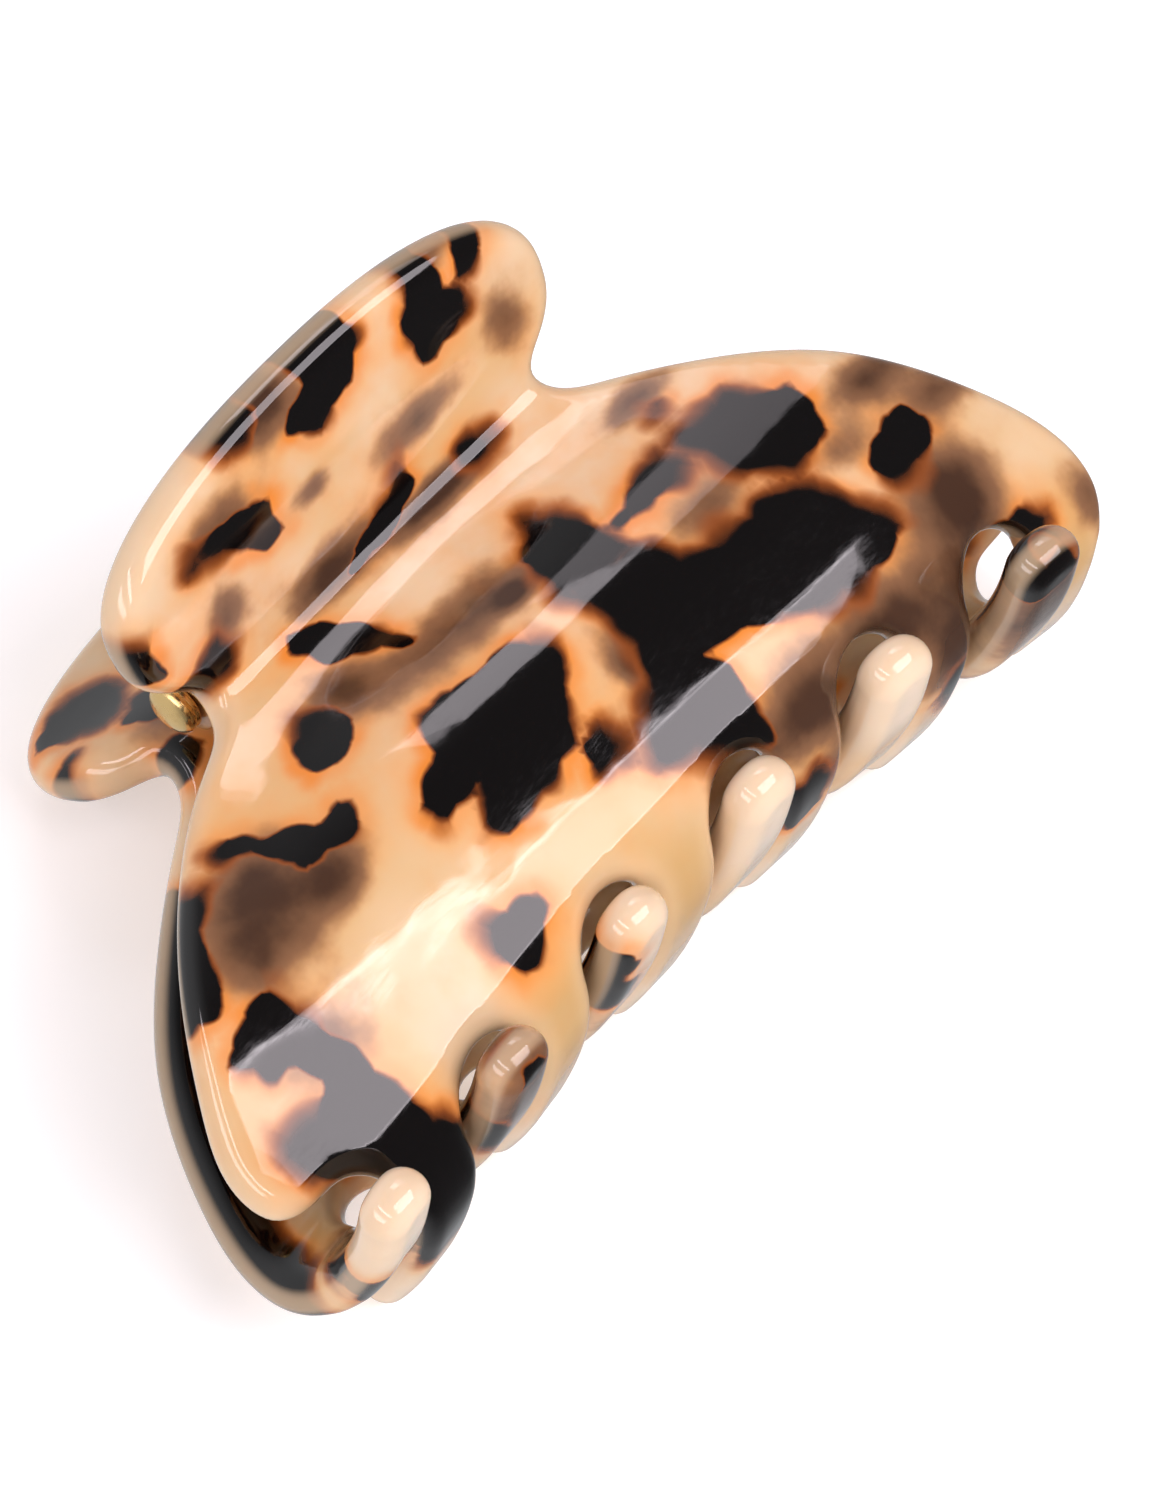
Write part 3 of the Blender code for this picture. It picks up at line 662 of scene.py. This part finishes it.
def spring_path():
    """Middle line of the spring's wire, in millimetres from the pin: the back leg, the coil
    and the front leg, each leg with an elbow and its end along the inside of its handle."""
    lift = -SHEET / 2 - WIRE_RADIUS - LEG_CLEARANCE
    elbow, end = bent([0.0, 0.0], [LEG_ELBOW_STATION, LEG_END_STATION], [lift, lift])
    reach = math.hypot(elbow[1], elbow[2])
    leave = math.atan2(elbow[2], elbow[1]) + math.acos(COIL_RADIUS / reach)
    turn = 2 * math.pi * COIL_TURNS + 2 * (math.pi - leave)
    count = COIL_SAMPLES * COIL_TURNS
    coil = []
    for i in range(count + 1):
        part = i / count
        angle = -leave - turn * part
        x = COIL_HALF_LENGTH * (2 * part - 1)
        coil.append((x, COIL_RADIUS * math.cos(angle), COIL_RADIUS * math.sin(angle)))
    coil = np.array(coil)
    legs = []
    for sign, touch in ((-1, coil[0]), (1, coil[-1])):
        bend = np.array([sign * COIL_HALF_LENGTH, elbow[1], sign * elbow[2]])
        tip = np.array([sign * COIL_HALF_LENGTH, end[1], sign * end[2]])
        before = bend + (touch - bend) * ELBOW_SHARE
        after = bend + (tip - bend) * ELBOW_SHARE
        part = np.linspace(0, 1, ELBOW_SAMPLES)[:, None]
        corner = (1 - part) ** 2 * before + 2 * part * (1 - part) * bend + part ** 2 * after
        legs.append(np.vstack([corner, tip[None]]))
    return np.vstack([legs[0][::-1], coil, legs[1]])


def wire_mesh(name, path, to_row, looks, sides=WIRE_SIDES):
    """A round wire along a path, closed by rounded ends."""
    along = np.gradient(path, axis=0)
    along /= np.linalg.norm(along, axis=1, keepdims=True)
    side = np.cross(along, WIRE_FIRST_ACROSS)
    for i in range(1, len(path)):
        carried = side[i - 1] - along[i] * (side[i - 1] @ along[i])
        side[i] = carried / np.linalg.norm(carried)
    side[0] /= np.linalg.norm(side[0])
    up = np.cross(along, side)
    rings = []
    for step, radius in WIRE_END[::-1]:
        rings.append((path[0] - along[0] * step, radius, side[0], up[0]))
    rings += [(p, WIRE_RADIUS, s, u) for p, s, u in zip(path, side, up)]
    for step, radius in WIRE_END:
        rings.append((path[-1] + along[-1] * step, radius, side[-1], up[-1]))
    points = []
    turn = 2 * np.pi * np.arange(sides) / sides
    for centre, radius, across, upward in rings:
        circle = np.outer(np.cos(turn), across) + np.outer(np.sin(turn), upward)
        points.append(centre + radius * circle)
    points = np.vstack(points) * MM
    faces = []
    for ring in range(len(rings) - 1):
        for i in range(sides):
            low = ring * sides
            after = (i + 1) % sides
            faces.append((low + i, low + after, low + sides + after, low + sides + i))
    faces.append(tuple(range(sides))[::-1])
    faces.append(tuple(range((len(rings) - 1) * sides, len(rings) * sides)))
    mesh = bpy.data.meshes.new(name)
    mesh.from_pydata([to_row @ Vector(p) for p in points], [], faces)
    store(mesh, "wire_length", "FLOAT", np.repeat(np.arange(len(rings)), sides))
    mesh.shade_smooth()
    mesh.materials.append(looks)
    return add(name, mesh)


# ---------------------------------------------------------------- materials


# Colour sockets of a Mix node
MIX_A = 6
MIX_B = 7
MIX_RESULT = 2


class Nodes:
    """Short calls for building one material's nodes."""

    def __init__(self, name):
        self.material = bpy.data.materials.new(name)
        self.material.use_nodes = True
        self.tree = self.material.node_tree
        self.shader = self.tree.nodes["Principled BSDF"]

    def link(self, source, target):
        if hasattr(source, "links"):
            self.tree.links.new(source, target)
        else:
            target.default_value = source

    def attribute(self, name, output="Fac"):
        node = self.tree.nodes.new("ShaderNodeAttribute")
        node.attribute_name = name
        return node.outputs[output]

    def noise(self, vector, scale, detail=3.0):
        node = self.tree.nodes.new("ShaderNodeTexNoise")
        self.link(vector, node.inputs["Vector"])
        node.inputs["Scale"].default_value = scale
        node.inputs["Detail"].default_value = detail
        return node.outputs["Fac"]

    def cells(self, vector, scale):
        """Distance to the nearest of many scattered points: it bends sharply between them."""
        node = self.tree.nodes.new("ShaderNodeTexVoronoi")
        self.link(vector, node.inputs["Vector"])
        node.inputs["Scale"].default_value = scale
        return node.outputs["Distance"]

    def math(self, operation, a, b=0.0, c=0.0):
        node = self.tree.nodes.new("ShaderNodeMath")
        node.operation = operation
        for socket, value in zip(node.inputs, (a, b, c)):
            self.link(value, socket)
        return node.outputs[0]

    def ramp(self, value, low, high, to_low=0.0, to_high=1.0):
        """Smooth step from one value to another."""
        node = self.tree.nodes.new("ShaderNodeMapRange")
        node.interpolation_type = "SMOOTHSTEP"
        for socket, number in zip(node.inputs, (value, low, high, to_low, to_high)):
            self.link(number, socket)
        return node.outputs[0]

    def mix(self, factor, a, b):
        node = self.tree.nodes.new("ShaderNodeMix")
        node.data_type = "RGBA"
        self.link(factor, node.inputs["Factor"])
        for socket, colour in ((node.inputs[MIX_A], a), (node.inputs[MIX_B], b)):
            self.link((*colour, 1.0) if isinstance(colour, tuple) else colour, socket)
        return node.outputs[MIX_RESULT]

    def place(self):
        return self.tree.nodes.new("ShaderNodeTexCoord").outputs["Object"]

    def stretched(self, vector, scale):
        node = self.tree.nodes.new("ShaderNodeMapping")
        self.link(vector, node.inputs["Vector"])
        node.inputs["Scale"].default_value = scale
        return node.outputs[0]

    def split(self, vector, axis):
        node = self.tree.nodes.new("ShaderNodeSeparateXYZ")
        self.link(vector, node.inputs[0])
        return node.outputs[axis]

    def bump(self, height, strength, distance):
        node = self.tree.nodes.new("ShaderNodeBump")
        self.link(height, node.inputs["Height"])
        node.inputs["Strength"].default_value = strength
        node.inputs["Distance"].default_value = distance
        self.link(node.outputs[0], self.shader.inputs["Normal"])

    def set(self, **values):
        for name, value in values.items():
            self.link(value, self.shader.inputs[name.replace("_", " ")])


# Colours of the materials
CREAM = (0.67, 0.435, 0.21)
PALE = (0.74, 0.54, 0.34)
IVORY = (0.86, 0.72, 0.57)
APRICOT = (0.76, 0.32, 0.08)
AMBER = (0.52, 0.32, 0.12)
HONEY = (0.58, 0.27, 0.09)
ORANGE = (0.74, 0.22, 0.02)
RUST = (0.26, 0.065, 0.012)
BROWN = (0.20, 0.095, 0.048)
UMBER = (0.05, 0.022, 0.012)
BLACK = (0.0022, 0.0012, 0.0012)
LUG_AMBER = (0.55, 0.29, 0.10)
LUG_BROWN = (0.30, 0.12, 0.035)
GOLD = (0.86, 0.60, 0.26)
WORN_GOLD = (0.48, 0.28, 0.10)
WIRE_GOLD = (0.80, 0.60, 0.32)
WORN_WIRE = (0.36, 0.24, 0.12)

# Where the pattern changes, each as (where it starts, where it is full). Along the sheet, in
# millimetres of station: the amber band above the fingers, its fading and the ivory tips
AMBER_BAND = (-29.0, -35.0)
AMBER_FADING = (-40.0, -48.0)
IVORY_TIPS = (-47.0, -54.0)
# From the sheet's own edge, in millimetres. Painted light: the sheet is lightened towards its
# edges, as a painted glow a few millimetres wide and a thin painted highlight right at the edge
PAINTED_EDGE_GLOW = (3.2, 0.4)
PAINTED_EDGE_HIGHLIGHT = (0.45, 0.0)
# From a blotch's edge, in millimetres, negative inside the blotch
APRICOT_RIM = (3.8, 0.5)
ORANGE_RIM = (1.9, 0.2)
RUST_RIM = (1.3, 0.1)
BLACK_CORE = (0.6, -0.5)
# In the depth of the clouds, from 0 to 1
HONEY_CLOUD = (0.04, 0.34)
BROWN_CLOUD = (0.14, 0.46)
UMBER_CLOUD = (0.38, 0.82)
# Noise in the pattern and the skin, in cycles per millimetre
SWIRL = 0.055
DRIFT = 0.17
WANDER = 0.30
CHIPS = 0.42
GLOW = 0.21
SOFTNESS = 0.13
WAVES = 0.09
SCUFFS = 1.2
# Noise in the lugs and the metal, in cycles per metre
LUG_CLOUDING = 260.0
SAW_MARKS = 900.0
TURNING_MARKS = 500.0
TARNISH = 420.0
DRAWING_MARKS = 700.0
WIRE_TARNISH = 300.0
# How far noise and chipping move a blotch's edge, and its mean shift, in millimetres
EDGE_WANDER = 0.7
EDGE_CHIPPING = 0.9
EDGE_SHIFT = 0.15
CLOUD_WANDER = 0.45


def tortoiseshell():
    """Blonde tortoiseshell: cream acetate with dark blotches that shade to orange at their
    edges, brown clouds deeper in the sheet, and a clear polished skin."""
    made = Nodes("tortoiseshell_acetate")
    place = made.attribute("sheet_place", "Vector")
    blotch = made.attribute("blotch")
    cloud = made.attribute("cloud")
    inset = made.attribute("inset")
    station = made.split(place, 1)

    swirl = made.noise(place, SWIRL, 2.0)
    drift = made.noise(place, DRIFT, 3.0)
    base = made.mix(made.ramp(swirl, 0.36, 0.62), CREAM, PALE)
    base = made.mix(made.math("MULTIPLY", made.ramp(drift, 0.45, 0.72), 0.35), base, APRICOT)
    near_teeth = made.ramp(station, *AMBER_BAND)
    past_teeth = made.ramp(station, *AMBER_FADING, 1.0, 0.0)
    amber = made.math("MULTIPLY", made.math("MULTIPLY", near_teeth, past_teeth), 0.75)
    base = made.mix(amber, base, AMBER)
    base = made.mix(made.ramp(station, *IVORY_TIPS, 0.0, 0.85), base, IVORY)
    # painted glow: lighten the sheet within a few millimetres of its edge, where light shines
    # through the rounded edge
    base = made.mix(made.ramp(inset, *PAINTED_EDGE_GLOW, 0.0, 0.5), base, PALE)

    wander = made.math("SUBTRACT", made.noise(place, WANDER), 0.5)
    chipped = made.math("SUBTRACT", made.cells(place, CHIPS), 0.5)
    edge = made.math("MULTIPLY_ADD", wander, EDGE_WANDER, blotch)
    edge = made.math("MULTIPLY_ADD", chipped, EDGE_CHIPPING, edge)
    edge = made.math("SUBTRACT", edge, EDGE_SHIFT)
    soft = made.math("MULTIPLY_ADD", wander, CLOUD_WANDER, cloud)

    glow = made.ramp(made.noise(place, GLOW, 1.0), 0.35, 0.65, 0.35, 0.9)
    base = made.mix(made.ramp(edge, *APRICOT_RIM, 0.0, 0.5), base, APRICOT)
    orange = made.math("MULTIPLY", made.ramp(edge, *ORANGE_RIM), glow)
    base = made.mix(orange, base, ORANGE)
    base = made.mix(made.ramp(soft, *HONEY_CLOUD, 0.0, 0.65), base, HONEY)
    base = made.mix(made.ramp(soft, *BROWN_CLOUD, 0.0, 0.92), base, BROWN)
    base = made.mix(made.ramp(soft, *UMBER_CLOUD, 0.0, 0.95), base, UMBER)
    softness = made.ramp(made.noise(place, SOFTNESS, 1.0), 0.44, 0.66, 0.25, 1.6)
    sunk = made.math("DIVIDE", edge, softness)
    base = made.mix(made.ramp(sunk, *RUST_RIM), base, RUST)
    base = made.mix(made.ramp(sunk, *BLACK_CORE), base, BLACK)
    # painted highlight: a thin light line right along the sheet's edge, over the blotches too,
    # where the rounded edge catches light
    base = made.mix(made.ramp(inset, *PAINTED_EDGE_HIGHLIGHT, 0.0, 0.5), base, PALE)

    waviness = made.noise(place, WAVES, 2.0)
    scuffs = made.noise(made.stretched(place, (1.0, 6.0, 1.0)), SCUFFS, 4.0)
    made.bump(waviness, 0.22, 0.0012)
    made.set(Base_Color=base, Roughness=made.ramp(scuffs, 0.35, 0.8, 0.045, 0.12), IOR=1.5,
             Coat_Weight=0.35, Coat_Roughness=0.02, Subsurface_Weight=0.12,
             Subsurface_Radius=(1.0, 0.45, 0.2), Subsurface_Scale=0.0012)
    return made.material


def amber_lug():
    """Plain amber acetate of the lugs, with faint clouding and saw marks."""
    made = Nodes("amber_acetate")
    place = made.place()
    clouding = made.noise(place, LUG_CLOUDING, 4.0)
    base = made.mix(made.ramp(clouding, 0.35, 0.7), LUG_AMBER, LUG_BROWN)
    marks = made.noise(made.stretched(place, (1.0, 9.0, 1.0)), SAW_MARKS, 3.0)
    made.bump(marks, 0.15, 0.0001)
    made.set(Base_Color=base, Roughness=made.ramp(marks, 0.3, 0.7, 0.12, 0.24), IOR=1.5,
             Coat_Weight=0.3, Subsurface_Weight=0.1, Subsurface_Radius=(1.0, 0.4, 0.15),
             Subsurface_Scale=0.001)
    return made.material


def gilt():
    """Gilt steel of the pin and its caps, turned and lightly worn."""
    made = Nodes("gilt_steel")
    place = made.place()
    turning = made.noise(made.stretched(place, (14.0, 1.0, 1.0)), TURNING_MARKS, 4.0)
    tarnish = made.noise(place, TARNISH, 3.0)
    base = made.mix(made.ramp(tarnish, 0.5, 0.75), GOLD, WORN_GOLD)
    made.bump(turning, 0.12, 0.00008)
    made.set(Base_Color=base, Metallic=1.0, Roughness=made.ramp(turning, 0.3, 0.7, 0.14, 0.30))
    return made.material


def wire_steel():
    """Gilt spring wire with drawing lines along its length."""
    made = Nodes("spring_steel")
    place = made.place()
    drawn = made.noise(made.stretched(place, (1.0, 7.0, 7.0)), DRAWING_MARKS, 4.0)
    tarnish = made.noise(place, WIRE_TARNISH, 3.0)
    base = made.mix(made.ramp(tarnish, 0.48, 0.78), WIRE_GOLD, WORN_WIRE)
    made.bump(drawn, 0.12, 0.00005)
    made.set(Base_Color=base, Metallic=1.0, Roughness=made.ramp(drawn, 0.3, 0.7, 0.2, 0.36))
    return made.material


# ---------------------------------------------------------------- the clip


def rest_tilt():
    """Angle about the pin that brings the clip down onto the table, as in the CAD."""
    tip = SHEET_LINE.handle_tip
    sole = bent([0.0, 0.0], [tip, tip - 1], [SHEET / 2 * SOLE_HEIGHT] * 2)
    handle = max(sole, key=lambda p: p[2])
    finger = middle_surface(np.zeros(1), np.array([SHEET_LINE.finger_tip]))[0]
    return math.atan2(handle[2] + finger[2], handle[1] - finger[1])


def stand_for(obj, node, body):
    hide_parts(node)
    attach(obj, body)


def build_clip():
    pin_place = Vector(frame["joints"][0]["pos_m"])
    to_row = Matrix.Translation(pin_place) @ Matrix.Rotation(rest_tilt(), 4, "X")
    sides = {"front": to_row, "back": to_row @ Matrix.Rotation(math.pi, 4, "Y")}
    patterns = {"front": (FRONT_BLOTCHES, FRONT_CLOUDS), "back": (BACK_BLOTCHES, BACK_CLOUDS)}
    shell = tortoiseshell()
    lug = amber_lug()
    gold = gilt()
    sheet = jaw_sheet()
    for side, place in sides.items():
        made = jaw(f"{side}_jaw_sheet", sheet, place, *patterns[side], shell)
        stand_for(made, f"{side}_jaw", f"{side}_half")
        for where, x in (("outer", -OUTER_KNUCKLE_X), ("inner", INNER_KNUCKLE_X)):
            across = Matrix.Translation((x * MM, 0, 0))
            made = lug_mesh(f"{side}_lug_{where}", place @ across, lug)
            stand_for(made, f"{side}_knuckle_{where}", f"{side}_half")
    pin = turned("pin_rod", rounded_rod(), to_row, gold)
    stand_for(pin, "hinge_pin", "back_half")
    cap_x = PIN_HALF_LENGTH - (CAP_LENGTH - CAP_WALL - TOUCH_GAP) + TOUCH_GAP
    for name, sign in (("left", -1), ("right", 1)):
        mirror = Matrix.Rotation(math.pi, 4, "Z") if sign < 0 else Matrix.Identity(4)
        place = to_row @ mirror @ Matrix.Translation((cap_x * MM, 0, 0))
        cap = turned(f"cap_dome_{name}", cap_profile(), place, gold)
        stand_for(cap, f"pin_cap_{name}", "back_half")
    spring = wire_mesh("spring_wire", spring_path(), to_row, wire_steel())
    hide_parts("torsion_spring")
    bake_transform(spring)


# ---------------------------------------------------------------- stage, lights and camera

TABLE_HALF_SIZE = 1.5
TABLE_WHITE = (0.86, 0.86, 0.87)
TABLE_GREY = (0.88, 0.88, 0.88)
TABLE_GRAIN = 60.0
TABLE_GLOW = 0.33
TABLE_GLOW_COLOUR = (1.0, 0.99, 0.98, 1.0)
LIGHT_HEIGHT = 0.70

# Softboxes over the clip: name, centre and half size in x and y on the light plane as
# parts of its height, turn in degrees, and radiance
SOFTBOXES = [
    ("handle_softbox", (0.52, 0.74), (0.20, 0.22), 0.0, 3.8),
    ("handle_softbox_side", (1.00, 0.85), (0.28, 0.42), 0.0, 1.4),
    ("body_softbox", (0.36, -0.53), (0.66, 0.34), -4.0, 4.9),
    ("body_upper_strip", (0.384, -0.185), (0.66, 0.009), -4.0, 11.0),
    ("body_lower_strip", (0.336, -0.880), (0.66, 0.014), -4.0, 11.0),
    ("rim_strip", (-0.78, 0.10), (0.07, 0.70), 0.0, 6.0),
    ("left_softbox", (-1.70, 0.30), (0.40, 0.90), 0.0, 4.2),
]
SOFTBOX_COLOUR = (1.0, 0.92, 0.97)

# Fill light: metres and watts
FILL_PLACE = Vector((0.05, -0.85, 0.22))
FILL_SIZE = 0.5
FILL_POWER = 2.4

# Studio walls: a direction, the span along it over which they brighten, and both strengths
BRIGHT_WALL = (-0.45, 0.75, -0.45)
WALL_SPAN = (-0.35, 0.75)
WALL_DIM = 0.11
WALL_BRIGHT = 0.7
WALL_COLOUR = (0.96, 0.97, 1.0, 1.0)


def floor():
    mesh = bpy.data.meshes.new("floor")
    half = TABLE_HALF_SIZE
    corners = [(-half, -half, 0), (half, -half, 0), (half, half, 0), (-half, half, 0)]
    mesh.from_pydata(corners, [], [(0, 1, 2, 3)])
    made = Nodes("white_table")
    grain = made.noise(made.place(), TABLE_GRAIN, 4.0)
    base = made.mix(made.ramp(grain, 0.3, 0.7), TABLE_WHITE, TABLE_GREY)
    made.set(Base_Color=base, Roughness=0.6, Emission_Color=TABLE_GLOW_COLOUR,
             Emission_Strength=TABLE_GLOW)
    mesh.materials.append(made.material)
    table = add("floor", mesh)
    table.visible_glossy = False


def fill_light():
    """Broad, low light from the front, which the gloss does not show."""
    light = bpy.data.lights.new("front_fill", "AREA")
    light.shape = "DISK"
    light.size = FILL_SIZE
    light.energy = FILL_POWER
    obj = add("front_fill", light)
    obj.location = FILL_PLACE
    obj.rotation_euler = (-FILL_PLACE).to_track_quat("-Z", "Y").to_euler()
    obj.visible_glossy = False


def softbox(name, centre, half_size, turn, radiance):
    light = bpy.data.lights.new(name, "AREA")
    light.shape = "RECTANGLE"
    light.size = 2 * half_size[0] * LIGHT_HEIGHT
    light.size_y = 2 * half_size[1] * LIGHT_HEIGHT
    light.energy = radiance * math.pi * light.size * light.size_y
    light.color = SOFTBOX_COLOUR
    obj = add(name, light)
    middle = (cad_box[0] + cad_box[1]) / 2
    obj.location = middle + Vector((centre[0], centre[1], 1.0)) * LIGHT_HEIGHT
    obj.rotation_euler.z = math.radians(turn)


def world():
    """Studio walls: bright behind, to the left and low down, dim in front and overhead."""
    made = bpy.data.worlds.new("studio")
    bpy.context.scene.world = made
    made.use_nodes = True
    tree = made.node_tree
    background = tree.nodes["Background"]
    place = tree.nodes.new("ShaderNodeTexCoord")
    towards_walls = tree.nodes.new("ShaderNodeVectorMath")
    towards_walls.operation = "DOT_PRODUCT"
    tree.links.new(place.outputs["Generated"], towards_walls.inputs[0])
    towards_walls.inputs[1].default_value = BRIGHT_WALL
    ramp = tree.nodes.new("ShaderNodeMapRange")
    ramp.interpolation_type = "SMOOTHSTEP"
    tree.links.new(towards_walls.outputs["Value"], ramp.inputs[0])
    for socket, number in zip(ramp.inputs[1:5], (*WALL_SPAN, WALL_DIM, WALL_BRIGHT)):
        socket.default_value = number
    background.inputs["Color"].default_value = WALL_COLOUR
    tree.links.new(ramp.outputs[0], background.inputs["Strength"])


def camera():
    azimuth, elevation, roll = map(math.radians, (VIEW_AZIMUTH, VIEW_ELEVATION, VIEW_ROLL))
    forward = Vector((-math.sin(azimuth) * math.cos(elevation),
                      math.cos(azimuth) * math.cos(elevation), -math.sin(elevation)))
    level = forward.cross(Vector((0, 0, 1))).normalized()
    right = math.cos(roll) * level + math.sin(roll) * forward.cross(level)
    down = forward.cross(right)
    lens = bpy.data.cameras.new("camera")
    lens.sensor_fit = "VERTICAL"
    lens.sensor_height = FILM_HEIGHT
    lens.lens = LENS
    obj = add("camera", lens)
    turn = Matrix((right, -down, -forward)).transposed().to_4x4()
    obj.matrix_world = Matrix.Translation(VIEW_AIM - forward * VIEW_DISTANCE) @ turn
    bpy.context.scene.camera = obj


build_clip()
floor()
for box in SOFTBOXES:
    softbox(*box)
fill_light()
world()
camera()
bpy.context.scene.view_settings.view_transform = "Standard"
